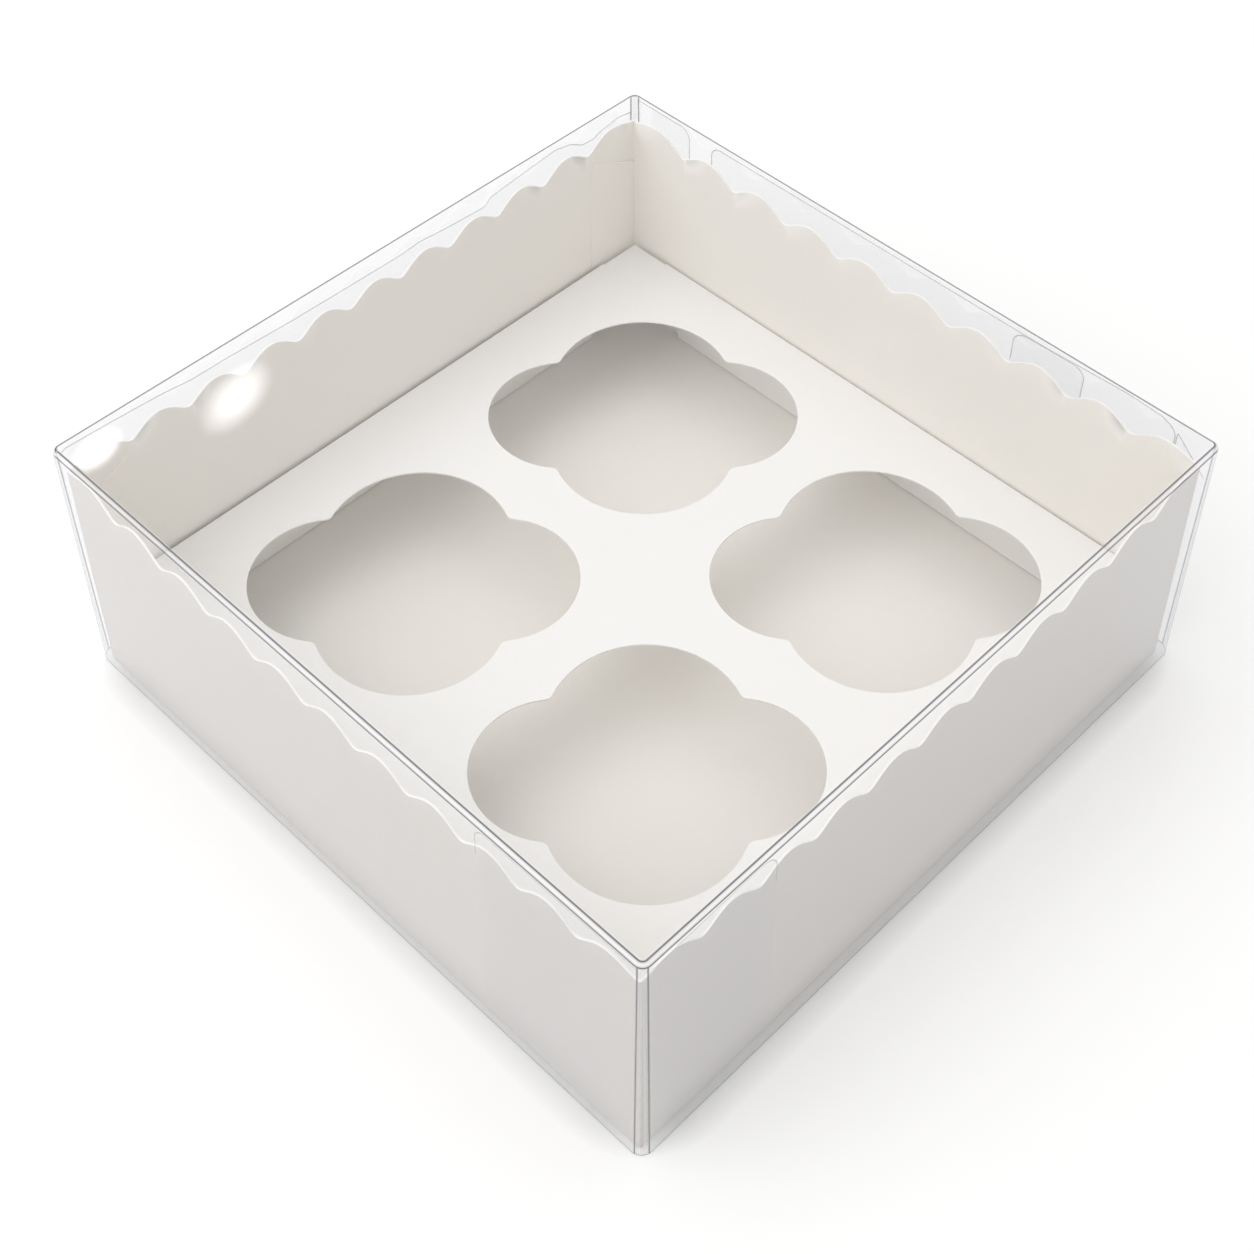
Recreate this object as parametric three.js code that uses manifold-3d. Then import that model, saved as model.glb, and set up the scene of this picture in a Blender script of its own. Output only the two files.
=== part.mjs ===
// Cupcake box for four cakes: a folded paperboard tray with scalloped walls, a folded
// insert card with four clover holes, and a clear folded film cover that lifts off.
// Millimetres, +Z up, origin on the table at the middle of the cover's open rim.
// The front corner points to -X -Y, the right corner to +X -Y.

import * as THREE from 'three';
import { mergeVertices } from 'three/addons/utils/BufferGeometryUtils.js';
import Module from 'manifold-3d';

const wasm = await Module();
wasm.setup();

// Sheet stock and fits
const boardThickness = 0.5; // white paperboard of the tray and the insert
const filmThickness = 0.3; // clear film of the cover
const seatGap = 0.3; // gap left where one piece rests on or against another
const fuseOverlap = 0.1; // how far a glued tab is let into the wall that carries it

// Clear cover
const coverHeight = 68;
const coverTopWidth = 170; // outside, across the top panel
const coverRimSpread = 2.2; // each wall leans out this far on its way down to the rim
const coverFoldRadius = 1.1; // outer radius of the four creases round the top panel
const coverCornerRadius = 1.6; // outer radius of the four upright creases
const coverTabTopGap = 2.2; // the inner tabs stop this far short of the top panel
const coverTabFootGap = 3; // and this far short of the rim
const coverTabRound = 3; // rounded free corners of a tab

// Paperboard tray
const trayFootPlay = 3.8; // the cover's rim is this much wider inside than the tray's foot
const trayTopInset = 4.2; // the tray's top edge is this much narrower than the top panel
const trayHeadRoom = 3.4; // the tallest scallops stop this far under the top panel
const trayFoldRadius = 0.7; // outer radius of the folds
const trayStandOff = 0.7; // from the tray's front left wall to the cover's inner flap
const trayShiftY = -0.3; // the tray stands a little off the cover's middle
const frontWallDip = 7; // how far the two front walls sink towards their middle
const frontCornerFall = 2.5; // and how far they fall towards the front corner
const backWallDip = 2.2; // the same for the two back walls
const scallopDepth = 3.6;
const valleySoftness = 0.3; // 0 gives sharp valleys, 1 gives an even wave
const cornerDrop = 0.5; // share of the depth that the outermost half scallops fall
const scallopSteps = 10; // straight steps along one scallop
const trayTabWidth = 14; // glue tabs folded round the corners, inside
const trayTabTop = 50; // height of a tab's upper edge at the corner
const trayTabRise = 7; // its slanted edge is this much higher at the free end
const trayTabFoot = 2; // a tab starts this far above the floor

// Insert card
const insertHeight = 23.5; // top face of the card above the table
const insertFoldRadius = 0.9;
const legRelief = 12; // a folded leg stops this far short of the card's corners
const legSlope = 5; // and is this much shorter again at its foot
const holePitch = 72.6; // between the middles of neighbouring holes
const holeShiftX = 3.8; // the hole pattern sits off the card's middle
const holeShiftY = 0.9;
const holeWaist = 53.8; // across two opposite notches, where the cake is held
const holeSpanLong = 74; // lobe to lobe, from the left lobe to the right one
const holeSpanShort = 64.8; // lobe to lobe, from the front lobe to the back one
const notchRadius = 1.7; // rounded notches between the lobes
const holeArcSteps = 9;

// Worked out from the sizes above
const coverRimWidth = coverTopWidth + 2 * coverRimSpread; // outside, across the open rim
const coverSplay = coverRimSpread / coverHeight;
const trayBaseWidth = coverRimWidth - 2 * filmThickness - trayFootPlay; // outside, at the floor
const trayTopWidth = coverTopWidth - trayTopInset; // outside: the walls lean in a little
const trayCrestHeight = coverHeight - filmThickness - trayHeadRoom; // crests next to a corner
const trayLean = (trayBaseWidth - trayTopWidth) / 2 / trayCrestHeight;
const coverInsideRim = coverRimWidth / 2 - filmThickness;
const trayShiftX = trayBaseWidth / 2 - (coverInsideRim - filmThickness - trayStandOff);
const holeStretch = Math.sqrt(holeSpanLong / holeSpanShort); // the notches stretch alike

// The four sides in turn: turn is how far the wall facing -Y is turned about Z to reach
// its place. coverTabs holds the reach of each inner flap of film along the wall, from the
// wall's middle, cornerEnd is past the corner, and frontEnd is the end at the front corner.
const cornerEnd = coverRimWidth / 2;
const sides = {
  frontRight: {
    turn: 0, dip: frontWallDip, scallops: 11, trayTabs: true, frontEnd: -1,
    coverTabs: [[-cornerEnd, -51]],
  },
  backRight: {
    turn: Math.PI / 2, dip: backWallDip, scallops: 10, trayTabs: false, frontEnd: 0,
    coverTabs: [[-cornerEnd, -32], [-30, 59], [66, cornerEnd]],
  },
  backLeft: {
    turn: Math.PI, dip: backWallDip, scallops: 11, trayTabs: true, frontEnd: 0,
    coverTabs: [],
  },
  frontLeft: {
    turn: -Math.PI / 2, dip: frontWallDip, scallops: 11, trayTabs: false, frontEnd: 1,
    coverTabs: [[-cornerEnd, -58], [43, cornerEnd]],
  },
};
const walls = Object.values(sides);

// Conversions between three.js geometry and manifold solids

function toSolid(geometry) {
  const bare = geometry.clone();
  for (const name of Object.keys(bare.attributes)) {
    if (name !== 'position') bare.deleteAttribute(name);
  }
  const merged = mergeVertices(bare, 1e-5);
  return new wasm.Manifold(new wasm.Mesh({
    numProp: 3,
    vertProperties: Float32Array.from(merged.attributes.position.array),
    triVerts: Uint32Array.from(merged.index.array),
  }));
}

function toGeometry(solid) {
  const mesh = solid.getMesh();
  const geometry = new THREE.BufferGeometry();
  geometry.setAttribute('position', new THREE.BufferAttribute(mesh.vertProperties, 3));
  geometry.setIndex(new THREE.BufferAttribute(mesh.triVerts, 1));
  geometry.computeVertexNormals();
  return geometry;
}

// A square outline with rounded corners, counter-clockwise seen from above
function roundedSquare(half, radius, z, steps = 4) {
  const points = [];
  const middle = half - radius;
  for (let corner = 0; corner < 4; corner += 1) {
    const start = corner * Math.PI / 2;
    const cx = middle * (corner === 0 || corner === 3 ? 1 : -1);
    const cy = middle * (corner < 2 ? 1 : -1);
    for (let i = 0; i <= steps; i += 1) {
      const angle = start + (i / steps) * Math.PI / 2;
      points.push([cx + radius * Math.cos(angle), cy + radius * Math.sin(angle), z]);
    }
  }
  return points;
}

// A closed solid through a stack of convex outlines, bottom to top
function loft(rings) {
  const count = rings[0].length;
  const positions = rings.flat(2);
  const index = [];
  for (let r = 0; r + 1 < rings.length; r += 1) {
    for (let i = 0; i < count; i += 1) {
      const a = r * count + i;
      const b = r * count + (i + 1) % count;
      index.push(a, b, b + count, a, b + count, a + count);
    }
  }
  const topStart = (rings.length - 1) * count;
  for (let i = 1; i + 1 < count; i += 1) {
    index.push(0, i + 1, i);
    index.push(topStart, topStart + i, topStart + i + 1);
  }
  const geometry = new THREE.BufferGeometry();
  geometry.setAttribute('position', new THREE.Float32BufferAttribute(positions, 3));
  geometry.setIndex(index);
  return toSolid(geometry);
}

// An outline drawn in (along, up) on the wall that faces -Y, cut as a slab that reaches
// from depthFrom to depthTo away from the box's middle, then turned to its own wall
function wallPrism(outline, depthFrom, depthTo, turn) {
  const geometry = new THREE.ExtrudeGeometry(outline, {
    depth: depthTo - depthFrom, bevelEnabled: false, curveSegments: 5,
  });
  geometry.rotateX(Math.PI / 2);
  geometry.translate(0, -depthFrom, 0);
  geometry.rotateZ(turn);
  return toSolid(geometry);
}

// Tray

function trayHalf(z) {
  return trayBaseWidth / 2 - trayLean * z;
}

// The tray's outer form drawn in by inset, from just inside its floor to past its top
function trayBlock(inset, floor) {
  const rings = [];
  const radius = Math.max(trayFoldRadius - inset, 0.1);
  const steps = 3;
  for (let i = 0; i <= steps; i += 1) {
    const angle = (i / steps) * Math.PI / 2;
    const z = floor + radius * (1 - Math.cos(angle));
    rings.push(roundedSquare(
      trayHalf(z) - inset - radius * (1 - Math.sin(angle)), radius, z, steps,
    ));
  }
  const top = trayCrestHeight + 1;
  rings.push(roundedSquare(trayHalf(top) - inset, radius, top, steps));
  return loft(rings);
}

// Height of a wall's upper edge at a distance along it from the wall's middle
function wallTop(along, wall) {
  const half = trayTopWidth / 2;
  const share = Math.min(Math.abs(along) / half, 1);
  const pitch = trayTopWidth / wall.scallops;
  const swing = Math.abs(Math.sin(Math.PI * (along / pitch + wall.scallops / 2)));
  const soft = valleySoftness;
  const rise = (Math.hypot(swing, soft) - soft) / (Math.hypot(1, soft) - soft);
  const pastLastCrest = Math.abs(along) > half - pitch / 2;
  const depth = scallopDepth * (pastLastCrest ? cornerDrop : 1);
  const fall = frontCornerFall * Math.max(along * wall.frontEnd / half, 0) ** 2;
  return trayCrestHeight - wall.dip * (1 - share * share) - fall - depth * (1 - rise);
}

// What is trimmed off above one wall's scalloped edge
function wallTrim(wall) {
  const half = trayTopWidth / 2;
  const steps = wall.scallops * scallopSteps;
  const beyond = trayBaseWidth;
  const above = trayCrestHeight + 5;
  const outline = new THREE.Shape();
  outline.moveTo(-beyond, above);
  outline.lineTo(-beyond, wallTop(-half, wall));
  for (let i = 0; i <= steps; i += 1) {
    const along = -half + (2 * half * i) / steps;
    outline.lineTo(along, wallTop(along, wall));
  }
  outline.lineTo(beyond, wallTop(half, wall));
  outline.lineTo(beyond, above);
  const inside = trayHalf(trayCrestHeight) - boardThickness - seatGap;
  return wallPrism(outline, inside, trayBaseWidth, wall.turn);
}

// The glue tab at one end of a wall: end is -1 or 1
function trayTabOutline(end) {
  const outer = trayBaseWidth / 2;
  const inner = trayTopWidth / 2 - boardThickness - trayTabWidth;
  const outline = new THREE.Shape();
  outline.moveTo(end * outer, trayTabFoot);
  outline.lineTo(end * outer, trayTabTop);
  outline.lineTo(end * inner, trayTabTop + trayTabRise);
  outline.lineTo(end * inner, trayTabFoot + trayTabRise);
  return outline;
}

function makeTray() {
  let tray = trayBlock(0, 0).subtract(trayBlock(boardThickness, boardThickness));
  for (const wall of walls) tray = tray.subtract(wallTrim(wall));
  const tabLayer = trayBlock(boardThickness - fuseOverlap, boardThickness)
    .subtract(trayBlock(2 * boardThickness, 0));
  const inward = trayHalf(trayCrestHeight) - 3 * boardThickness;
  for (const wall of walls.filter((w) => w.trayTabs)) {
    for (const end of [-1, 1]) {
      const slab = wallPrism(trayTabOutline(end), inward, trayBaseWidth, wall.turn);
      tray = tray.add(tabLayer.intersect(slab));
    }
  }
  return toGeometry(tray);
}

// Insert card

// Where two circles meet on the side away from the hole's middle
function circlesMeet(first, firstRadius, second, secondRadius) {
  const gap = second.clone().sub(first);
  const distance = gap.length();
  const along = (firstRadius ** 2 - secondRadius ** 2 + distance ** 2) / (2 * distance);
  const off = Math.sqrt(firstRadius ** 2 - along ** 2);
  const foot = first.clone().add(gap.clone().setLength(along));
  const side = new THREE.Vector2(gap.y, -gap.x).setLength(off);
  const near = foot.clone().add(side);
  const far = foot.clone().sub(side);
  return near.length() > far.length() ? near : far;
}

// One lobe's arc, through two neighbouring notches and its own far point
function lobe(angle, span, stretch) {
  const reach = span / 2;
  const notch = holeWaist / 2 / Math.SQRT2;
  const halfChord = notch / stretch;
  const bulge = reach - notch * stretch;
  const radius = (halfChord ** 2 + bulge ** 2) / (2 * bulge);
  const middle = new THREE.Vector2(reach - radius, 0).rotateAround(new THREE.Vector2(), angle);
  return { middle, radius };
}

// A clover outline: four lobes towards the box's corners, joined by rounded notches
function cloverPath(x, y) {
  const lobes = [0, 1, 2, 3].map((i) => {
    const angle = Math.PI / 4 + i * Math.PI / 2;
    const isLong = i % 2 === 1;
    return isLong
      ? lobe(angle, holeSpanLong, holeStretch)
      : lobe(angle, holeSpanShort, 1 / holeStretch);
  });
  const notches = lobes.map((from, i) => {
    const to = lobes[(i + 1) % 4];
    return circlesMeet(from.middle, from.radius + notchRadius, to.middle, to.radius + notchRadius);
  });
  const bearing = (from, to) => Math.atan2(to.y - from.y, to.x - from.x);
  const path = new THREE.Path();
  lobes.forEach((here, i) => {
    const before = notches[(i + 3) % 4];
    const after = notches[i];
    const next = lobes[(i + 1) % 4];
    path.absarc(
      x + here.middle.x, y + here.middle.y, here.radius,
      bearing(here.middle, before), bearing(here.middle, after), false,
    );
    path.absarc(
      x + after.x, y + after.y, notchRadius,
      bearing(after, here.middle), bearing(after, next.middle), true,
    );
  });
  return path;
}

// Half widths of the card: it clears the glue tabs on the two walls that carry them
const trayInside = trayHalf(insertHeight) - boardThickness - seatGap;
const cardHalfX = trayInside;
const cardHalfY = trayInside - boardThickness;

function makeCard() {
  const x = cardHalfX - insertFoldRadius;
  const y = cardHalfY - insertFoldRadius;
  const card = new THREE.Shape([
    new THREE.Vector2(-x, -y), new THREE.Vector2(x, -y),
    new THREE.Vector2(x, y), new THREE.Vector2(-x, y),
  ]);
  for (const sx of [-1, 1]) {
    for (const sy of [-1, 1]) {
      card.holes.push(cloverPath(
        holeShiftX + sx * holePitch / 2, holeShiftY + sy * holePitch / 2,
      ));
    }
  }
  const geometry = new THREE.ExtrudeGeometry(card, {
    depth: boardThickness, bevelEnabled: false, curveSegments: holeArcSteps,
  });
  geometry.translate(0, 0, insertHeight - boardThickness);
  return toSolid(geometry);
}

// A leg folded down along one edge of the card, drawn as the folded sheet's section
function makeLeg(half, otherHalf, turn) {
  const foot = boardThickness + seatGap;
  const top = insertHeight;
  const outer = insertFoldRadius;
  const inner = insertFoldRadius - boardThickness;
  const section = new THREE.Shape();
  section.moveTo(half - boardThickness, foot);
  section.lineTo(half, foot);
  section.lineTo(half, top - outer);
  section.absarc(half - outer, top - outer, outer, 0, Math.PI / 2, false);
  section.lineTo(half - outer - fuseOverlap, top);
  section.lineTo(half - outer - fuseOverlap, top - boardThickness);
  section.lineTo(half - outer, top - boardThickness);
  section.absarc(half - outer, top - outer, inner, Math.PI / 2, 0, true);
  const length = 2 * (otherHalf - legRelief);
  const geometry = new THREE.ExtrudeGeometry(section, {
    depth: length, bevelEnabled: false, curveSegments: 3,
  });
  geometry.translate(0, 0, -length / 2);
  geometry.rotateX(Math.PI / 2);
  geometry.rotateZ(turn);
  const trimmed = new THREE.Shape([
    new THREE.Vector2(-length / 2 + legSlope, 0), new THREE.Vector2(length / 2 - legSlope, 0),
    new THREE.Vector2(length / 2, top - outer), new THREE.Vector2(length / 2, top + 1),
    new THREE.Vector2(-length / 2, top + 1), new THREE.Vector2(-length / 2, top - outer),
  ]);
  const reach = wallPrism(trimmed, half - 5, half + 5, turn + Math.PI / 2);
  return toSolid(geometry).intersect(reach);
}

function makeInsert() {
  let insert = makeCard();
  for (let side = 0; side < 4; side += 1) {
    const alongX = side % 2 === 0;
    const half = alongX ? cardHalfX : cardHalfY;
    const otherHalf = alongX ? cardHalfY : cardHalfX;
    insert = insert.add(makeLeg(half, otherHalf, side * Math.PI / 2));
  }
  return toGeometry(insert);
}

// Cover

// The cover's outer form drawn in by inset, open below where foot is under the rim
function coverBlock(inset, foot) {
  const radius = Math.max(coverFoldRadius - inset, 0.2);
  const corner = Math.max(coverCornerRadius - inset, 0.2);
  const top = coverHeight - inset;
  const half = (z) => coverRimWidth / 2 - coverSplay * z - inset;
  const rings = [roundedSquare(half(foot), corner, foot)];
  const steps = 4;
  for (let i = 0; i <= steps; i += 1) {
    const angle = (i / steps) * Math.PI / 2;
    const z = top - radius * (1 - Math.sin(angle));
    const drawnIn = radius * (1 - Math.cos(angle));
    rings.push(roundedSquare(half(z) - drawnIn, Math.max(corner - drawnIn, 0.1), z));
  }
  return loft(rings);
}

// An inner flap drawn on its wall, with rounded corners at its free ends
function coverTabOutline(from, to) {
  const low = coverTabFootGap;
  const high = coverHeight - coverTabTopGap;
  const round = coverTabRound;
  const outline = new THREE.Shape();
  outline.absarc(to - round, low + round, round, Math.PI * 1.5, Math.PI * 2, false);
  outline.absarc(to - round, high - round, round, 0, Math.PI / 2, false);
  outline.absarc(from + round, high - round, round, Math.PI / 2, Math.PI, false);
  outline.absarc(from + round, low + round, round, Math.PI, Math.PI * 1.5, false);
  return outline;
}

function makeCover() {
  let cover = coverBlock(0, 0).subtract(coverBlock(filmThickness, -1));
  const tabLayer = coverBlock(filmThickness - fuseOverlap, 0)
    .subtract(coverBlock(2 * filmThickness, -1));
  const inward = coverTopWidth / 2 - 5 * filmThickness;
  for (const wall of walls) {
    for (const [from, to] of wall.coverTabs) {
      // Past the corner the outline is square, so that its rounding is only at free ends
      const start = from === -cornerEnd ? from - coverTabRound : from;
      const finish = to === cornerEnd ? to + coverTabRound : to;
      const slab = wallPrism(
        coverTabOutline(start, finish), inward, coverRimWidth, wall.turn,
      );
      cover = cover.add(tabLayer.intersect(slab));
    }
  }
  return toGeometry(cover);
}

// Assembly

const paperWhite = new THREE.MeshStandardMaterial({ color: 0xece7e0, roughness: 0.85, metalness: 0 });
const cardWhite = new THREE.MeshStandardMaterial({ color: 0xf4f2ee, roughness: 0.8, metalness: 0 });
const clearFilm = new THREE.MeshStandardMaterial({
  color: 0xeef1f5, roughness: 0.05, metalness: 0, transparent: true, opacity: 0.25,
});

function piece(name, geometry, material) {
  const mesh = new THREE.Mesh(geometry, material);
  mesh.name = name;
  return mesh;
}

const box = new THREE.Group();
const trayGroup = new THREE.Group();
trayGroup.position.set(trayShiftX, trayShiftY, 0);
trayGroup.add(piece('base_tray', makeTray(), paperWhite));
trayGroup.add(piece('cupcake_insert', makeInsert(), cardWhite));
box.add(trayGroup);
box.add(piece('clear_cover', makeCover(), clearFilm));

export default box;
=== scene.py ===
# Cupcake box in a white studio: paperboard tray, insert card and clear film cover.
# Lengths are in millimetres until a mesh is made, and metres after that.

import math

import bpy
import numpy as np
from mathutils import Matrix, Vector


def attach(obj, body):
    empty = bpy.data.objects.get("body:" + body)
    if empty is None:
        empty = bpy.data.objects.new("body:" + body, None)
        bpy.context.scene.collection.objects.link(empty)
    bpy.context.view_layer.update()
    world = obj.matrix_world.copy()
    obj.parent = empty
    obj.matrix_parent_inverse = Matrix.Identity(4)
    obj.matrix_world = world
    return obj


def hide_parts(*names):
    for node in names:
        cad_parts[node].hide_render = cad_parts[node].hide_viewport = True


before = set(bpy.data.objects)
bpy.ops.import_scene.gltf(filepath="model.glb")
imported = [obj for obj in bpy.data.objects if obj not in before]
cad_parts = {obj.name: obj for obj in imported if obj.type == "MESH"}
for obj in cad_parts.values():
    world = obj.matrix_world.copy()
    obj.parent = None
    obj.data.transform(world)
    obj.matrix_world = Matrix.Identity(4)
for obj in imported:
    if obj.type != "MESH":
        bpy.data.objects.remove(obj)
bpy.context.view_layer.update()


# A mesh object from points in millimetres, with a number for each point where asked
def meshObject(name, points, faces, material, attributes=None, smooth=True):
    mesh = bpy.data.meshes.new(name)
    mesh.from_pydata((np.asarray(points) / 1000).tolist(), [], [list(f) for f in faces])
    mesh.update()
    for key, values in (attributes or {}).items():
        layer = mesh.attributes.new(key, "FLOAT", "POINT")
        layer.data.foreach_set("value", np.asarray(values, dtype=np.float32))
    mesh.polygons.foreach_set("use_smooth", [smooth] * len(mesh.polygons))
    obj = bpy.data.objects.new(name, mesh)
    bpy.context.scene.collection.objects.link(obj)
    mesh.materials.append(material)
    return obj


# Quads of a grid: point r * columns + c joins the next column and the next row
def gridFaces(rows, columns, closed):
    r = np.arange(rows - 1)[:, None]
    c = np.arange(columns if closed else columns - 1)[None, :]
    n = (c + 1) % columns
    a = r * columns + c
    b = r * columns + n
    return np.stack([a, b, b + columns, a + columns], axis=-1).reshape(-1, 4)


# Shared shader helpers

def socketGroup(name, inputs, outputs):
    group = bpy.data.node_groups.new(name, "ShaderNodeTree")
    for label, kind, value in inputs:
        socket = group.interface.new_socket(label, in_out="INPUT", socket_type=kind)
        if value is not None:
            socket.default_value = value
    for label, kind in outputs:
        group.interface.new_socket(label, in_out="OUTPUT", socket_type=kind)
    return group, group.nodes.new("NodeGroupInput"), group.nodes.new("NodeGroupOutput")


def mathNode(tree, operation, a, b=None, clamp=False):
    node = tree.nodes.new("ShaderNodeMath")
    node.operation = operation
    node.use_clamp = clamp
    for i, value in enumerate((a, b)):
        if value is None:
            continue
        if isinstance(value, (int, float)):
            node.inputs[i].default_value = value
        else:
            tree.links.new(value, node.inputs[i])
    return node.outputs[0]


def newMaterial(name):
    material = bpy.data.materials.new(name)
    material.use_nodes = True
    tree = material.node_tree
    tree.nodes.clear()
    return material, tree, tree.nodes.new("ShaderNodeOutputMaterial")


# Noise scale and detail of the fibres and of the broad clouds, and how strongly they show
paper = {
    "fine": (900, 4),
    "broad": (60, 3),
    "mottle": 0.02,
    "bump": 0.04,
    "bumpHeight": 0.1,
    "specular": 0.25,
}


# Faint fibre mottling: factor 1 + mottle ((fine - 0.5) + (broad - 0.5)), and the fine noise
# as a height
def paperFibre():
    group, entry, exit = socketGroup(
        "paperFibre",
        [("Vector", "NodeSocketVector", None)],
        [("Factor", "NodeSocketFloat"), ("Height", "NodeSocketFloat")],
    )
    total = 1.0
    for size in ("fine", "broad"):
        scale, detail = paper[size]
        noise = group.nodes.new("ShaderNodeTexNoise")
        noise.inputs["Scale"].default_value = scale
        noise.inputs["Detail"].default_value = detail
        group.links.new(entry.outputs["Vector"], noise.inputs["Vector"])
        if size == "fine":
            group.links.new(noise.outputs["Fac"], exit.inputs["Height"])
        centred = mathNode(group, "SUBTRACT", noise.outputs["Fac"], 0.5)
        total = mathNode(group, "ADD", mathNode(group, "MULTIPLY", centred, paper["mottle"]), total)
    group.links.new(total, exit.inputs["Factor"])
    return group


fibre = paperFibre()


# A number stored on the mesh's points or faces
def readLayer(tree, attribute):
    layer = tree.nodes.new("ShaderNodeAttribute")
    layer.attribute_name = attribute
    return layer.outputs["Fac"]


def mixColour(tree, factor, first, second):
    node = tree.nodes.new("ShaderNodeMix")
    node.data_type = "RGBA"
    for socket, value in ((node.inputs["A"], first), (node.inputs["B"], second)):
        if isinstance(value, tuple):
            socket.default_value = (*value, 1)
        else:
            tree.links.new(value, socket)
    tree.links.new(factor, node.inputs["Factor"])
    return node.outputs["Result"]


# Paperboard: one tone outside, one inside, and a brighter one on cut edges. The tray's darker
# outside tone is painted shade on its outer walls and its warmer inside tone painted bounce
# light; the insert's legs take a lighter inside tone, painted light that lifts their shade. The
# cut-edge tone is partly the board's white core and partly painted highlight.
def boardMaterial(name, outside, inside, cutEdgeCoreAndHighlight, roughness):
    material, tree, output = newMaterial(name)
    shader = tree.nodes.new("ShaderNodeBsdfPrincipled")
    sides = mixColour(tree, readLayer(tree, "inside"), outside, inside)
    colour = mixColour(tree, readLayer(tree, "cutEdgeCoreAndHighlight"), sides, cutEdgeCoreAndHighlight)
    coords = tree.nodes.new("ShaderNodeTexCoord")
    mottle = tree.nodes.new("ShaderNodeGroup")
    mottle.node_tree = fibre
    tree.links.new(coords.outputs["Object"], mottle.inputs["Vector"])
    tint = tree.nodes.new("ShaderNodeVectorMath")
    tint.operation = "SCALE"
    tree.links.new(colour, tint.inputs[0])
    tree.links.new(mottle.outputs["Factor"], tint.inputs["Scale"])
    tree.links.new(tint.outputs[0], shader.inputs["Base Color"])
    bump = tree.nodes.new("ShaderNodeBump")
    bump.inputs["Strength"].default_value = paper["bump"]
    bump.inputs["Distance"].default_value = paper["bumpHeight"] / 1000
    tree.links.new(mottle.outputs["Height"], bump.inputs["Height"])
    tree.links.new(bump.outputs["Normal"], shader.inputs["Normal"])
    shader.inputs["Roughness"].default_value = roughness
    shader.inputs["Specular IOR Level"].default_value = paper["specular"]
    tree.links.new(shader.outputs[0], output.inputs["Surface"])
    return material


# Outside darkened as painted shade, inside warmed as painted bounce light, cut edges partly white
# core and partly painted highlight
trayBoard = boardMaterial(
    "trayBoard", (0.665, 0.63, 0.59), (0.89, 0.86, 0.808), (0.94, 0.925, 0.9), 0.75,
)
# The card's own tone; the legs' lighter inside tone is painted light that lifts their shade, and
# the cut edges are partly white core and partly painted highlight
insertBoard = boardMaterial(
    "insertBoard", (0.885, 0.872, 0.855), (0.93, 0.915, 0.885), (0.96, 0.945, 0.92), 0.7,
)


# Paperboard tray

tray = {
    "middle": (-0.9, -0.3),
    "baseWidth": 170.0,
    "topWidth": 165.8,
    "crest": 64.3,
    "board": 0.5,
    "fold": 0.7,
    "frontDip": 7.0,
    "frontCornerFall": 2.5,
    "backDip": 2.2,
    "scallopDepth": 3.6,
    "softness": 0.3,
    "cornerDrop": 0.5,
    "perScallop": 26,
    "cornerSteps": 6,
    "cutRound": 0.08,
    "cutFold": 0.5,
    "innerFold": 0.25,
    "tabWidth": 14.0,
    "tabTop": 50.0,
    "tabRise": 7.0,
    "tabFoot": 2.0,
    "tabEdge": 0.12,
    "tabSunk": 0.1,
}
# Sides in turn from the one facing -Y: dip, scallops, and which end is the front corner
traySides = [
    (tray["frontDip"], 11, -1),
    (tray["backDip"], 10, 0),
    (tray["backDip"], 11, 0),
    (tray["frontDip"], 11, 1),
]
sideTurns = [0.0, math.pi / 2, math.pi, -math.pi / 2]


def trayHalf(z):
    lean = (tray["baseWidth"] - tray["topWidth"]) / 2 / tray["crest"]
    return tray["baseWidth"] / 2 - lean * z


# Height of a wall's edge: crest - dip (1 - share^2) - fall to the front corner - scallops
def wallTop(along, side):
    dip, scallops, frontEnd = traySides[side]
    half = tray["topWidth"] / 2
    pitch = tray["topWidth"] / scallops
    soft = tray["softness"]
    swing = np.abs(np.sin(np.pi * (along / pitch + scallops / 2)))
    rise = (np.hypot(swing, soft) - soft) / (math.hypot(1, soft) - soft)
    pastCrest = np.abs(along) > half - pitch / 2
    depth = tray["scallopDepth"] * np.where(pastCrest, tray["cornerDrop"], 1.0)
    share = np.minimum(np.abs(along) / half, 1)
    fall = tray["frontCornerFall"] * np.maximum(along * frontEnd / half, 0) ** 2
    return tray["crest"] - dip * (1 - share**2) - fall - depth * (1 - rise)


# Samples round a rounded square, one per column: x and y of the square's unit outline, the
# normal, the side, the share along it and the share of its corner's arc
def squareSamples(counts, cornerSteps):
    out = []
    arc = np.arange(1, cornerSteps) / cornerSteps
    for side, turn in enumerate(sideTurns):
        along = np.append(np.linspace(-1, 1, counts[side]), np.ones(len(arc)))
        share = np.append(np.zeros(counts[side]), arc)
        ct, st = math.cos(turn), math.sin(turn)
        angle = turn - (1 - share) * math.pi / 2
        out.append(np.stack([
            along * ct + st, along * st - ct, np.cos(angle), np.sin(angle),
            np.full(len(along), side), along, share,
        ]))
    return np.concatenate(out, axis=1)


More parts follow.
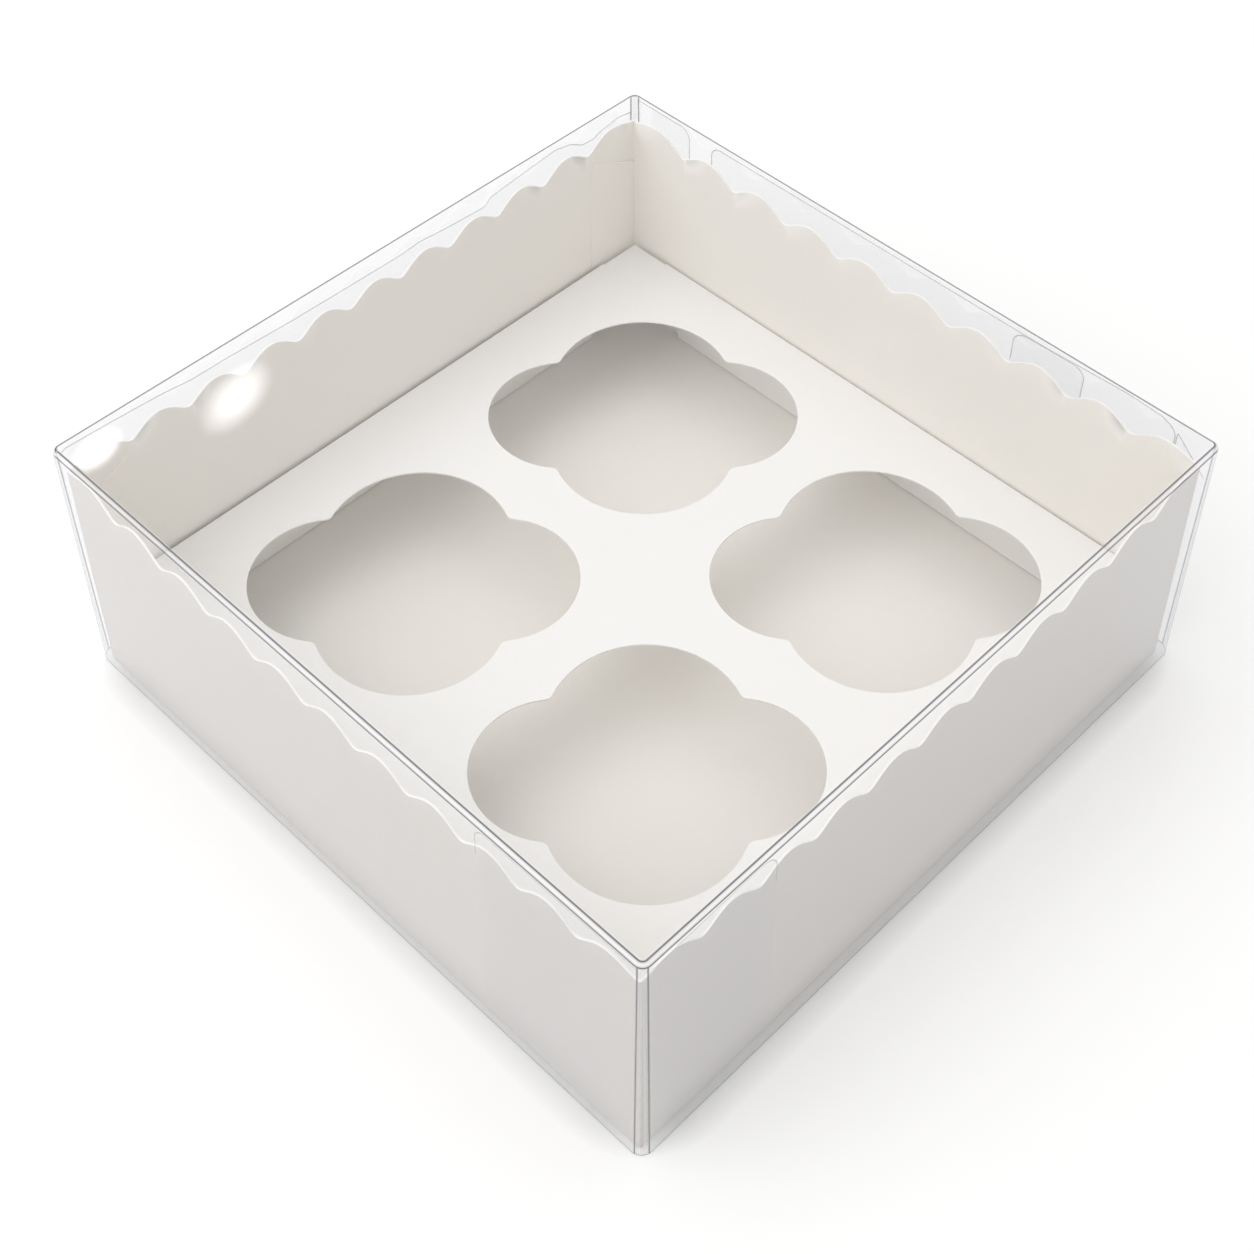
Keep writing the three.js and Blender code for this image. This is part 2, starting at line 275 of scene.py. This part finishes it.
# The tray as rows round it: the floor outwards, the fold, the wall up, over its cut edge,
# and down and in again a board's thickness inside
def makeTray():
    counts = [scallops * tray["perScallop"] + 1 for _, scallops, _ in traySides]
    cx, cy, nx, ny, side, along, _ = squareSamples(counts, tray["cornerSteps"])
    top = np.zeros(len(cx))
    for k in range(4):
        here = side == k
        top[here] = wallTop(along[here] * tray["topWidth"] / 2, k)
    board, fold, inner, cut = tray["board"], tray["fold"], tray["innerFold"], tray["cutRound"]

    def row(z, inset, radius):
        half = trayHalf(z) - inset - radius
        return np.stack([
            cx * half + nx * radius + tray["middle"][0],
            cy * half + ny * radius + tray["middle"][1],
            np.broadcast_to(z, cx.shape),
        ], axis=1)

    rows = []
    for k in (0.0, 0.5, 0.97):
        rows.append(row(0.0, (1 - k) * trayHalf(0.0) + k * fold, 0.0))
    for angle in np.linspace(0, math.pi / 2, 5):
        rows.append(row(fold * (1 - math.cos(angle)), fold * (1 - math.sin(angle)), fold))
    for t in np.linspace(0, 1, 12)[1:]:
        rows.append(row(fold + t * (top - cut - fold), 0.0, fold))
    cutFrom = len(rows)
    for angle in (math.pi / 4, math.pi / 2):
        rows.append(row(top - cut * (1 - math.sin(angle)), cut * (1 - math.cos(angle)), fold))
    for angle in (math.pi / 2, math.pi / 4):
        inset = board - cut * (1 - math.cos(angle))
        rows.append(row(top - cut * (1 - math.sin(angle)), inset, tray["cutFold"]))
    insideFrom = len(rows)
    for t in np.linspace(1, 0, 12):
        rows.append(row(board + inner + t * (top - cut - board - inner), board, inner))
    for angle in np.linspace(math.pi / 2, 0, 4)[1:]:
        z = board + inner * (1 - math.cos(angle))
        rows.append(row(z, board + inner * (1 - math.sin(angle)), inner))
    for k in (0.97, 0.5, 0.0):
        rows.append(row(board, (1 - k) * trayHalf(board) + k * (board + inner), 0.0))
    rowNumber = np.repeat(np.arange(len(rows)), len(cx))
    # Outer rows take the painted shade tone, inner rows and the floor the painted bounce light
    # tone, and the cut rim the tone of white core and painted highlight
    attributes = {
        "inside": (rowNumber >= insideFrom) * 1.0,
        "cutEdgeCoreAndHighlight": ((rowNumber >= cutFrom) & (rowNumber < insideFrom)) * 1.0,
    }
    return np.concatenate(rows), gridFaces(len(rows), len(cx), True), attributes


# A point at a distance along a wall, a depth out from the middle and a height, turned to its side
def onSide(side, along, depth, z, middle=(0.0, 0.0)):
    ct, st = math.cos(sideTurns[side]), math.sin(sideTurns[side])
    return np.column_stack([
        along * ct + depth * st + middle[0], along * st - depth * ct + middle[1], z,
    ])


# A glue tab against the inside of a wall's end: a prism with slanted ends, as thick as the
# board at the corner and pressed thin at its free end
def makeTrayTab(side, end):
    free = tray["topWidth"] / 2 - tray["board"] - tray["tabWidth"]
    foot, top, rise = tray["tabFoot"], tray["tabTop"], tray["tabRise"]
    z = np.array([foot, top, top + rise, foot + rise])
    held = trayHalf(z) - tray["board"]
    along = end * np.where([True, True, False, False], held, free)
    thick = np.where([True, True, False, False], tray["board"], tray["tabEdge"])
    face = onSide(side, along, held - thick, z, tray["middle"])
    back = onSide(side, along, held + tray["tabSunk"], z, tray["middle"])
    faces = [[0, 1, 2, 3], [7, 6, 5, 4], [0, 4, 5, 1], [1, 5, 6, 2], [2, 6, 7, 3], [3, 7, 4, 0]]
    if end > 0:
        faces = [f[::-1] for f in faces]
    points = np.concatenate([face, back])
    # The tab takes the inside tone of painted bounce light
    return points, faces, {"inside": np.ones(len(points))}


points, faces, attributes = makeTray()
trayObject = meshObject("trayBody", points, faces, trayBoard, attributes)
trayPieces = [trayObject]
for side in (0, 2):
    for end in (-1, 1):
        points, faces, attributes = makeTrayTab(side, end)
        trayPieces.append(meshObject(
            f"trayTab{len(trayPieces)}", points, faces, trayBoard, attributes, smooth=False,
        ))
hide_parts("base_tray")
for piece in trayPieces:
    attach(piece, "tray")
print("tray", len(trayObject.data.polygons))


# Insert card

insert = {
    "top": 23.5,
    "board": 0.5,
    "fold": 0.9,
    "pitch": 72.6,
    "shift": (3.8, 0.9),
    "waist": 53.8,
    "spanLong": 74.0,
    "spanShort": 64.8,
    "notch": 1.7,
    "clearance": 0.3,
    "relief": 12.0,
    "arcSteps": 40,
    "notchSteps": 8,
    "cutRound": 0.07,
    "legTaper": 5.0,
    "legSteps": 8,
    "foldSteps": 6,
}


# Points of an arc in the plane, without its last one
def arcPoints(middle, radius, start, finish, steps):
    angle = np.linspace(start, finish, steps, endpoint=False)
    return middle + radius * np.column_stack([np.cos(angle), np.sin(angle)])


def bearing(origin, target):
    return math.atan2(target[1] - origin[1], target[0] - origin[0])


# A clover hole: four arcs r^2 = halfChord^2 + (r - bulge)^2, joined by small rounded notches
def cloverOutline():
    stretch = math.sqrt(insert["spanLong"] / insert["spanShort"])
    notchAt = insert["waist"] / 2 / math.sqrt(2)
    lobes = []
    for i in range(4):
        angle = math.pi / 4 + i * math.pi / 2
        span, s = (
            (insert["spanLong"], stretch) if i % 2 else (insert["spanShort"], 1 / stretch)
        )
        bulge = span / 2 - notchAt * s
        halfChord = notchAt / s
        radius = (halfChord**2 + bulge**2) / (2 * bulge)
        reach = span / 2 - radius
        lobes.append((np.array([reach * math.cos(angle), reach * math.sin(angle)]), radius))
    notches = []
    for i in range(4):
        (a, ra), (b, rb) = lobes[i], lobes[(i + 1) % 4]
        ra, rb = ra + insert["notch"], rb + insert["notch"]
        gap = b - a
        d = np.linalg.norm(gap)
        along = (ra**2 - rb**2 + d**2) / (2 * d)
        off = math.sqrt(ra**2 - along**2)
        foot = a + gap / d * along
        sideways = np.array([gap[1], -gap[0]]) / d * off
        notches.append(max((foot + sideways, foot - sideways), key=np.linalg.norm))

    full = 2 * math.pi
    out = []
    for i in range(4):
        middle, radius = lobes[i]
        start = bearing(middle, notches[i - 1])
        sweep = (bearing(middle, notches[i]) - start) % full
        out.append(arcPoints(middle, radius, start, start + sweep, insert["arcSteps"]))
        notch = notches[i]
        start = bearing(notch, middle)
        sweep = (start - bearing(notch, lobes[(i + 1) % 4][0])) % full
        out.append(arcPoints(notch, insert["notch"], start, start - sweep, insert["notchSteps"]))
    return np.concatenate(out)


# The flat card with its holes, as a filled outline with soft cut edges
def makeCard():
    inside = trayHalf(insert["top"]) - insert["clearance"] - tray["board"]
    halfX, halfY = inside, inside - tray["board"]
    x, y = halfX - insert["fold"], halfY - insert["fold"]
    curve = bpy.data.curves.new("card", "CURVE")
    curve.dimensions = "2D"
    curve.fill_mode = "BOTH"
    soft = insert["cutRound"]
    curve.extrude = (insert["board"] / 2 - soft) / 1000
    curve.bevel_depth = soft / 1000
    curve.bevel_resolution = 1
    curve.offset = -soft / 1000
    outlines = [np.array([(-x, -y), (x, -y), (x, y), (-x, y)])]
    clover = cloverOutline()
    for sx in (-1, 1):
        for sy in (-1, 1):
            centre = np.array([
                insert["shift"][0] + sx * insert["pitch"] / 2,
                insert["shift"][1] + sy * insert["pitch"] / 2,
            ])
            outlines.append(clover + centre)
    for outline in outlines:
        spline = curve.splines.new("POLY")
        spline.points.add(len(outline) - 1)
        flat = np.column_stack([outline / 1000, np.zeros(len(outline)), np.ones(len(outline))])
        spline.points.foreach_set("co", flat.ravel())
        spline.use_cyclic_u = True
    holder = bpy.data.objects.new("cardOutline", curve)
    bpy.context.scene.collection.objects.link(holder)
    mesh = bpy.data.meshes.new_from_object(holder)
    bpy.data.objects.remove(holder)
    place = Vector((*tray["middle"], insert["top"] - insert["board"] / 2)) / 1000
    mesh.transform(Matrix.Translation(place))
    normals = np.zeros(len(mesh.polygons) * 3)
    mesh.polygons.foreach_get("normal", normals)
    # Side faces of the card take the cut-edge tone: white core and painted highlight
    layer = mesh.attributes.new("cutEdgeCoreAndHighlight", "FLOAT", "FACE")
    layer.data.foreach_set("value", (np.abs(normals[2::3]) < 0.95).astype(np.float32))
    mesh.materials.clear()
    mesh.materials.append(insertBoard)
    obj = bpy.data.objects.new("insertCard", mesh)
    bpy.context.scene.collection.objects.link(obj)
    return obj, halfX, halfY


# Four legs folded down from the card's edges: a bent strip's profile carried along each edge,
# and drawn in at its ends towards the foot
def makeLegs(halfX, halfY):
    parts = []
    board, fold, top = insert["board"], insert["fold"], insert["top"]
    foot = tray["board"] + insert["clearance"]
    angle = np.linspace(math.pi / 2, 0, insert["foldSteps"] + 1)
    ends = np.linspace(-1, 1, insert["legSteps"] + 1)
    for side in range(4):
        half, span = (halfY, halfX) if side % 2 == 0 else (halfX, halfY)
        outer, inner = [
            np.column_stack([half - fold + r * np.cos(angle), top - fold + r * np.sin(angle)])
            for r in (fold, fold - board)
        ]
        profile = np.concatenate([outer, [(half, foot), (half - board, foot)], inner[::-1]])
        depth, z = profile.T
        taper = insert["legTaper"] * np.maximum(0, top - fold - z) / top
        along = np.outer(ends, span - insert["relief"] - taper).ravel()
        count = len(profile)
        points = onSide(
            side, along, np.tile(depth, len(ends)), np.tile(z, len(ends)), tray["middle"],
        )
        faces = [list(f) for f in gridFaces(len(ends), count, True)]
        faces.append(list(range(count))[::-1])
        faces.append(list(range(len(points) - count, len(points))))
        # The legs take the insert's lighter inside tone, painted light that lifts the shade where
        # they meet the tray's floor
        parts.append(meshObject(
            f"insertLeg{side}", points, faces, insertBoard, {"inside": np.ones(len(points))},
            smooth=False,
        ))
    return parts


card, cardHalfX, cardHalfY = makeCard()
legs = makeLegs(cardHalfX, cardHalfY)
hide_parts("cupcake_insert")
for piece in [card, *legs]:
    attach(piece, "tray")
print("insert", len(card.data.polygons))


# Clear film cover

cover = {
    "height": 68.0,
    "topWidth": 170.0,
    "rimWidth": 174.4,
    "film": 0.3,
    "topFold": 1.1,
    "cornerTop": 2.0,
    "cornerRim": 3.0,
    "stripTop": 0.95,
    "stripRim": 1.5,
    "creaseLine": 0.62,
    "panelCorner": 0.3,
    "stripFrom": 0.6,
    "sideSteps": 120,
    "cornerSteps": 16,
    "foldSteps": 12,
    "measuredAt": 30.0,
    "unmarked": 50.0,
}
film = {
    "oneFace": 0.043,
    "gloss": (0.97, 0.975, 1.0),
    "clear": (0.968, 0.97, 0.974),
    "pale": (0.93, 0.93, 0.945),
    "dark": (0.07, 0.068, 0.095),
    "shade": (0.93, 0.93, 0.94),
    "roughness": 0.02,
}


def coverHalf(z):
    splay = (cover["rimWidth"] - cover["topWidth"]) / 2 / cover["height"]
    return cover["rimWidth"] / 2 - splay * z


# A soft line on a film: strength exp(-((distance - middle) / width)^2)
def softLine(tree, mark):
    attribute, middle, width, strength = mark
    away = mathNode(tree, "SUBTRACT", readLayer(tree, attribute), middle)
    scaled = mathNode(tree, "DIVIDE", away, width)
    power = mathNode(tree, "MULTIPLY", mathNode(tree, "MULTIPLY", scaled, scaled), -1.0)
    return mathNode(tree, "MULTIPLY", mathNode(tree, "POWER", math.e, power), strength)


# The strongest of several soft lines at each place
def strongest(tree, marks):
    total = softLine(tree, marks[0])
    for mark in marks[1:]:
        total = mathNode(tree, "MAXIMUM", total, softLine(tree, mark))
    return total


# Thin film: one face reflects F = f + (1 - f) (1 - cos)^5, so both reflect 2 F / (1 + F).
# The rest shows what is behind, and the marks lie on it as dark lines, painted shade where
# the film's folds and edges bend the light, and pale lines.
def filmMaterial(name, paintedShadeMarks, paleMarks, shine=1.0):
    material, tree, output = newMaterial(name)
    slant = tree.nodes.new("ShaderNodeLayerWeight")
    slant.inputs["Blend"].default_value = 0.5
    steep = mathNode(tree, "POWER", slant.outputs["Facing"], 5.0)
    least = film["oneFace"]
    oneFace = mathNode(tree, "ADD", mathNode(tree, "MULTIPLY", steep, 1 - least), least)
    share = mathNode(
        tree, "DIVIDE", mathNode(tree, "MULTIPLY", oneFace, 2.0 * shine),
        mathNode(tree, "ADD", oneFace, 1.0),
    )
    clear = tree.nodes.new("ShaderNodeBsdfTransparent")
    clear.inputs["Color"].default_value = (*film["clear"], 1)
    gloss = tree.nodes.new("ShaderNodeBsdfGlossy")
    gloss.inputs["Roughness"].default_value = film["roughness"]
    gloss.inputs["Color"].default_value = (*film["gloss"], 1)
    sheet = tree.nodes.new("ShaderNodeMixShader")
    tree.links.new(share, sheet.inputs[0])
    tree.links.new(clear.outputs[0], sheet.inputs[1])
    tree.links.new(gloss.outputs[0], sheet.inputs[2])

    # Dark lines of painted shade along folds and cut edges
    shadeStrength = strongest(tree, paintedShadeMarks)
    marking = shadeStrength
    if paleMarks:
        marking = mathNode(tree, "MAXIMUM", shadeStrength, strongest(tree, paleMarks))
    mark = tree.nodes.new("ShaderNodeBsdfPrincipled")
    mark.inputs["Roughness"].default_value = 0.5
    tree.links.new(mixColour(tree, shadeStrength, film["pale"], film["dark"]), mark.inputs["Base Color"])
    marked = tree.nodes.new("ShaderNodeMixShader")
    tree.links.new(marking, marked.inputs[0])
    tree.links.new(sheet.outputs[0], marked.inputs[1])
    tree.links.new(mark.outputs[0], marked.inputs[2])

    # Lamp rays pass the film almost unchanged
    rays = tree.nodes.new("ShaderNodeLightPath")
    shade = tree.nodes.new("ShaderNodeBsdfTransparent")
    shade.inputs["Color"].default_value = (*film["shade"], 1)
    final = tree.nodes.new("ShaderNodeMixShader")
    tree.links.new(rays.outputs["Is Shadow Ray"], final.inputs[0])
    tree.links.new(marked.outputs[0], final.inputs[1])
    tree.links.new(shade.outputs[0], final.inputs[2])
    tree.links.new(final.outputs[0], output.inputs["Surface"])
    return material


# Each mark has the distance that it is drawn by, its middle and width there, and its strength
# Dark lines of painted shade along the top folds, the far top fold, beside the corner strips and
# above the rim; then pale lines along the top fold and beside the strips
coverFilm = filmMaterial("coverFilm", [
    ("acrossTop", cover["creaseLine"], 0.26, 1.0),
    ("acrossTop", -cover["creaseLine"], 0.26, 1.0),
    ("acrossFarTop", -0.5, 0.4, 1.0),
    ("besideStrip", 0.0, 0.22, 0.95),
    ("aboveRim", 0.15, 0.24, 0.8),
], [
    ("acrossTop", 0.0, 0.36, 0.55),
    ("besideStrip", -0.8, 0.45, 0.3),
])
# A dark line of painted shade along each flap's inside edge
flapFilm = filmMaterial("flapFilm", [("insideEdge", 0.0, 0.26, 0.85)], [], shine=0.3)


# The sheet as rows round it: up the splayed walls, over the top folds and in to the middle.
# Its points carry their distances from the middle of the top fold, the rim and the strips.
def makeCover():
    ring = squareSamples([cover["sideSteps"] + 1] * 4, cover["cornerSteps"])
    cx, cy, nx, ny, side, along, cornerShare = ring
    fold, height, panelCorner = cover["topFold"], cover["height"], cover["panelCorner"]
    rows, topDistance, heights = [], [], []

    def addRow(z, inset, corner, fromTop):
        half = coverHalf(z) - inset - corner
        rows.append(np.stack([
            cx * half + nx * corner, cy * half + ny * corner, np.full(len(cx), z),
        ], axis=1))
        topDistance.append(fromTop)
        heights.append(z)

    def cornerAt(z):
        return cover["cornerRim"] + (cover["cornerTop"] - cover["cornerRim"]) * z / height

    quarter = fold * math.pi / 4
    for z in [0.0, 0.15, 0.5, 1.0, *np.linspace(2, height - fold, 38)]:
        addRow(z, 0.0, cornerAt(z), quarter + height - fold - z)
    for angle in np.linspace(0, math.pi / 2, cover["foldSteps"] + 1)[1:]:
        z = height - fold * (1 - math.sin(angle))
        drawnIn = fold * (1 - math.cos(angle))
        corner = max(cornerAt(z) - drawnIn, panelCorner)
        addRow(z, drawnIn, corner, quarter - fold * angle)
    for k in (0.997, 0.985, 0.95, 0.85, 0.6, 0.3, 0.0):
        past = (1 - k) * (coverHalf(height) - fold - panelCorner)
        addRow(height, fold + past, panelCorner, -quarter - past)

    level = np.array(heights)[:, None]
    corner = cornerAt(level)
    strip = cover["stripRim"] + (cover["stripTop"] - cover["stripRim"]) * level / height
    straight = (1 - np.abs(along))[None, :] * coverHalf(cover["measuredAt"])
    arc = np.abs(cornerShare - 0.5)[None, :] * corner * math.pi / 2
    fromCorner = np.where((cornerShare > 0)[None, :], arc, straight + corner * math.pi / 4)
    across = np.array(topDistance)[:, None]
    far, unmarked = (side == 2)[None, :], cover["unmarked"]
    # Distances that draw the film's painted shade lines and its pale lines
    attributes = {
        "acrossTop": np.where(far, unmarked, across).ravel(),
        "acrossFarTop": np.where(far, across, unmarked).ravel(),
        "aboveRim": np.repeat(heights, len(cx)),
        "besideStrip": np.where(across > cover["stripFrom"], fromCorner - strip, unmarked).ravel(),
    }
    return np.concatenate(rows), gridFaces(len(rows), len(cx), True), attributes


points, faces, attributes = makeCover()
coverObject = meshObject("coverSheet", points, faces, coverFilm, attributes)
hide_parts("clear_cover")
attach(coverObject, "cover")


# Inner flaps of film. Each has its side, its upper edge as distances along the wall and
# heights, and the rounding of its two ends.
flap = {
    "foot": 3.0,
    "step": 0.5,
    "blur": 1.5,
    "lineFrom": 50.0,
    "lineFull": 57.0,
    "lineGone": 3.0,
    "inset": 0.05,
    "layer": 0.12,
}
coverFlaps = [
    (0, [(-83.6, 64.6), (-60, 65.8), (-51, 65.8)], (0.5, 4.0)),
    (1, [(-74.8, 64.6), (-70.9, 66.4), (-62, 66.9), (-50, 66.4), (-32, 65.4)], (2.0, 3.0)),
    (1, [(-83.6, 56.5), (-75.2, 64.6), (-75.0, 64.6)], (0.5, 0.5)),
    (1, [(-51, 65.8), (59, 65.8)], (3.0, 3.0)),
    (1, [(66, 66.4), (83.6, 66.4)], (3.0, 0.5)),
    (2, [
        (-83.4, 63.0), (-78.9, 63.8), (-71.6, 62.6), (-70.9, 61.8), (-66.7, 62.0), (-62.7, 64.4),
        (-57.6, 65.5), (-46.4, 64.4), (-36.2, 63.3), (-35.4, 62.0), (-34.2, 61.6), (-22.4, 62.3),
        (-14.6, 63.1), (-8.8, 62.6), (3.0, 62.7), (23.6, 63.0), (39.7, 63.7), (50.4, 63.8),
        (57.4, 64.8), (70.0, 65.6), (84.0, 66.2),
    ], (0.5, 3.0)),
    (3, [(43, 65.8), (83.6, 65.8)], (3.0, 0.5)),
]


# A flap as a grid: columns along the wall, rows from its upper edge down to its foot, with
# quarter circles r - sqrt(r^2 - (r - d)^2) taken off at its ends. Its points carry their
# distance from its edge line, a dark line of painted shade, which fades lower down, where the
# film lies on the board.
def makeFlap(side, upperEdge, rounding, layer):
    edge = np.array(upperEdge)
    start, finish = edge[0, 0], edge[-1, 0]
    nearEnd = np.array([0.0, 0.1, 0.25, 0.45])
    inner = np.arange(start + 0.7, finish - 0.7, flap["step"])
    along = np.concatenate([start + nearEnd, inner, finish - nearEnd[::-1]])
    top = np.interp(along, edge[:, 0], edge[:, 1])
    blur = np.exp(-(np.arange(-3, 4) / flap["blur"]) ** 2)
    top = np.convolve(np.pad(top, 3, mode="edge"), blur / blur.sum(), mode="valid")
    foot = np.full(len(along), flap["foot"])
    for distance, r in ((along - start, rounding[0]), (finish - along, rounding[1])):
        taken = r - np.sqrt(np.maximum(r**2 - np.maximum(r - distance, 0) ** 2, 0))
        top = top - taken
        foot = foot + taken
    drops = np.array([0.0, 0.12, 0.3, 0.5, 0.8, 1.5, 3, 6, 9, 13, 20, 35])
    share = np.append(drops / 60, 1.0)
    z = top[None, :] - share[:, None] * (top - foot)[None, :]
    span = np.broadcast_to(along, z.shape)
    outline = np.concatenate([
        np.column_stack([along, top]), np.column_stack([along, foot])[::-1],
    ])
    outline = np.concatenate([outline, outline[:1]])
    a, b = outline[:-1], outline[1:]
    p = np.stack([span.ravel(), z.ravel()], axis=1)[:, None, :]
    run = b - a
    t = np.clip(((p - a) * run).sum(-1) / np.maximum((run**2).sum(-1), 1e-9), 0, 1)
    distance = np.linalg.norm(p - (a + t[..., None] * run), axis=-1).min(axis=1)
    fade = np.clip((z.ravel() - flap["lineFrom"]) / (flap["lineFull"] - flap["lineFrom"]), 0, 1)
    depth = coverHalf(z.ravel()) - cover["film"] - layer
    points = onSide(side, span.ravel(), depth, z.ravel())
    faces = gridFaces(len(share), len(along), False)[:, ::-1]
    return points, faces, {"insideEdge": distance + flap["lineGone"] * (1 - fade)}


for i, (side, upperEdge, rounding) in enumerate(coverFlaps):
    layer = flap["inset"] + flap["layer"] * (i % 3)
    points, faces, attributes = makeFlap(side, upperEdge, rounding, layer)
    piece = meshObject(f"coverFlap{i}", points, faces, flapFilm, attributes)
    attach(piece, "cover")
print("cover", len(coverObject.data.polygons))


# Floor, light and camera. The glow and the sky are as strengths, and the sky is white where
# it is seen.

studio = {
    "floor": 0.72,
    "floorGlow": 0.22,
    "reach": 4000.0,
    "glowSquare": 72.0,
    "glowFrom": 14.0,
    "glowFull": 21.0,
    "aim": (0, 0, 30),
    "sky": 0.86,
    "skyTint": (1.0, 0.995, 0.985),
}


# 1 for the rays that show the background: from the camera, off gloss and through glass
def shownRays(tree):
    rays = tree.nodes.new("ShaderNodeLightPath")
    seen = mathNode(
        tree, "ADD", rays.outputs["Is Camera Ray"], rays.outputs["Is Glossy Ray"], clamp=True,
    )
    return mathNode(tree, "ADD", seen, rays.outputs["Is Transmission Ray"], clamp=True)


# A pale floor that keeps the shadow: plain diffuse, and a glow for the shown rays alone,
# which fades out towards the box, by the distance from a square in its middle, so that the
# fade paints a contact shadow round the box
def makeFloor():
    material, tree, output = newMaterial("floorWhite")
    material.cycles.emission_sampling = "NONE"
    diffuse = tree.nodes.new("ShaderNodeBsdfDiffuse")
    diffuse.inputs["Color"].default_value = (studio["floor"],) * 3 + (1,)
    glow = tree.nodes.new("ShaderNodeEmission")
    step = tree.nodes.new("ShaderNodeTexCoord").outputs["Object"]
    for operation, edge in (("ABSOLUTE", 0), ("SUBTRACT", studio["glowSquare"]), ("MAXIMUM", 0)):
        node = tree.nodes.new("ShaderNodeVectorMath")
        node.operation = operation
        node.inputs[1].default_value = (edge / 1000,) * 3
        tree.links.new(step, node.inputs[0])
        step = node.outputs[0]
    length = tree.nodes.new("ShaderNodeVectorMath")
    length.operation = "LENGTH"
    tree.links.new(step, length.inputs[0])
    away = length.outputs["Value"]
    start, full = studio["glowFrom"] / 1000, studio["glowFull"] / 1000
    # The glow's fade near the box is a painted contact shadow
    fade = mathNode(
        tree, "DIVIDE", mathNode(tree, "SUBTRACT", away, start), full - start, clamp=True,
    )
    shown = mathNode(tree, "MULTIPLY", shownRays(tree), fade)
    strength = mathNode(tree, "MULTIPLY", shown, studio["floorGlow"])
    tree.links.new(strength, glow.inputs["Strength"])
    both = tree.nodes.new("ShaderNodeAddShader")
    tree.links.new(diffuse.outputs[0], both.inputs[0])
    tree.links.new(glow.outputs[0], both.inputs[1])
    tree.links.new(both.outputs[0], output.inputs["Surface"])
    reach = studio["reach"]
    points = [(-reach, -reach, 0), (reach, -reach, 0), (reach, reach, 0), (-reach, reach, 0)]
    return meshObject("floor", points, [(0, 1, 2, 3)], material, smooth=False)


makeFloor()

lights = {
    "overhead": {"at": (150, 240, 900), "size": 850, "power": 1.35},
    "key": {"at": (-640, 270, 820), "size": 1000, "power": 4.0},
}
for name, setting in lights.items():
    data = bpy.data.lights.new(name, "AREA")
    data.shape = "SQUARE"
    data.size = setting["size"] / 1000
    data.energy = setting["power"]
    lamp = bpy.data.objects.new(name, data)
    bpy.context.scene.collection.objects.link(lamp)
    lamp.location = Vector(setting["at"]) / 1000
    lamp.visible_glossy = False
    aim = Vector(studio["aim"]) / 1000 - lamp.location
    lamp.rotation_euler = aim.to_track_quat("-Z", "Y").to_euler()

camera = {
    "at": (-201.3, -198.4, 361.0),
    "turned": (40.49, -0.462, -45.726),
    "lens": 57.01,
    "shift": (-0.0239, -0.0478),
}

# Two soft lamps that only the film's gloss shows: where they glint on the top panel, how
# large each glint is, and how much brighter than the sky. Their edges are as bright as it.
glints = {
    "distance": 1.2,
    "rings": 8,
    "steps": 40,
    "fallOff": 1.5,
    "near": {"on": (-49.0, 69.5), "size": (12.5, 6.4), "turned": 24, "strength": 6.5},
    "corner": {"on": (-78.4, 77.4), "size": (7.6, 4.4), "turned": 20, "strength": 11.0},
}


def makeGlints():
    material, tree, output = newMaterial("glintLamp")
    material.cycles.emission_sampling = "NONE"
    glow = tree.nodes.new("ShaderNodeEmission")
    tree.links.new(readLayer(tree, "brightness"), glow.inputs["Strength"])
    tree.links.new(glow.outputs[0], output.inputs["Surface"])
    top = cover["height"]
    eyeAt = np.array(camera["at"])
    mirrored = np.array([eyeAt[0], eyeAt[1], 2 * top - eyeAt[2]])
    for name in ("near", "corner"):
        glint = glints[name]
        spot = np.array([*glint["on"], top])
        # Rings of an ellipse on the panel, carried up along the reflected sight lines
        angle = np.linspace(0, 2 * math.pi, glints["steps"], endpoint=False)
        radius = np.linspace(0, 1, glints["rings"] + 1)
        turn = math.radians(glint["turned"])
        u = glint["size"][0] * np.outer(radius, np.cos(angle))
        v = glint["size"][1] * np.outer(radius, np.sin(angle))
        x = spot[0] + u * math.cos(turn) - v * math.sin(turn)
        y = spot[1] + u * math.sin(turn) + v * math.cos(turn)
        onPanel = np.stack([x.ravel(), y.ravel(), np.full(x.size, top)], axis=1)
        points = onPanel + (onPanel - mirrored) * glints["distance"]
        profile = glint["strength"] * (1 - radius**2) ** glints["fallOff"]
        lamp = meshObject(
            f"glint{name}", points, gridFaces(len(radius), len(angle), True), material,
            {"brightness": 1 + np.repeat(profile, len(angle))},
        )
        lamp.visible_camera = False
        lamp.visible_diffuse = False
        lamp.visible_shadow = False


makeGlints()

world = bpy.data.worlds.new("studio")
bpy.context.scene.world = world
world.use_nodes = True
sky = world.node_tree.nodes["Background"]
sky.inputs["Color"].default_value = (*studio["skyTint"], 1)
seen = mathNode(world.node_tree, "MULTIPLY", shownRays(world.node_tree), 1 - studio["sky"])
strength = mathNode(world.node_tree, "ADD", seen, studio["sky"])
world.node_tree.links.new(strength, sky.inputs["Strength"])

data = bpy.data.cameras.new("camera")
data.sensor_width = 36
data.lens = camera["lens"]
data.shift_x, data.shift_y = camera["shift"]
data.clip_start = 0.01
eye = bpy.data.objects.new("camera", data)
bpy.context.scene.collection.objects.link(eye)
eye.location = Vector(camera["at"]) / 1000
eye.rotation_euler = [math.radians(a) for a in camera["turned"]]
bpy.context.scene.camera = eye

bpy.context.scene.view_settings.view_transform = "Standard"
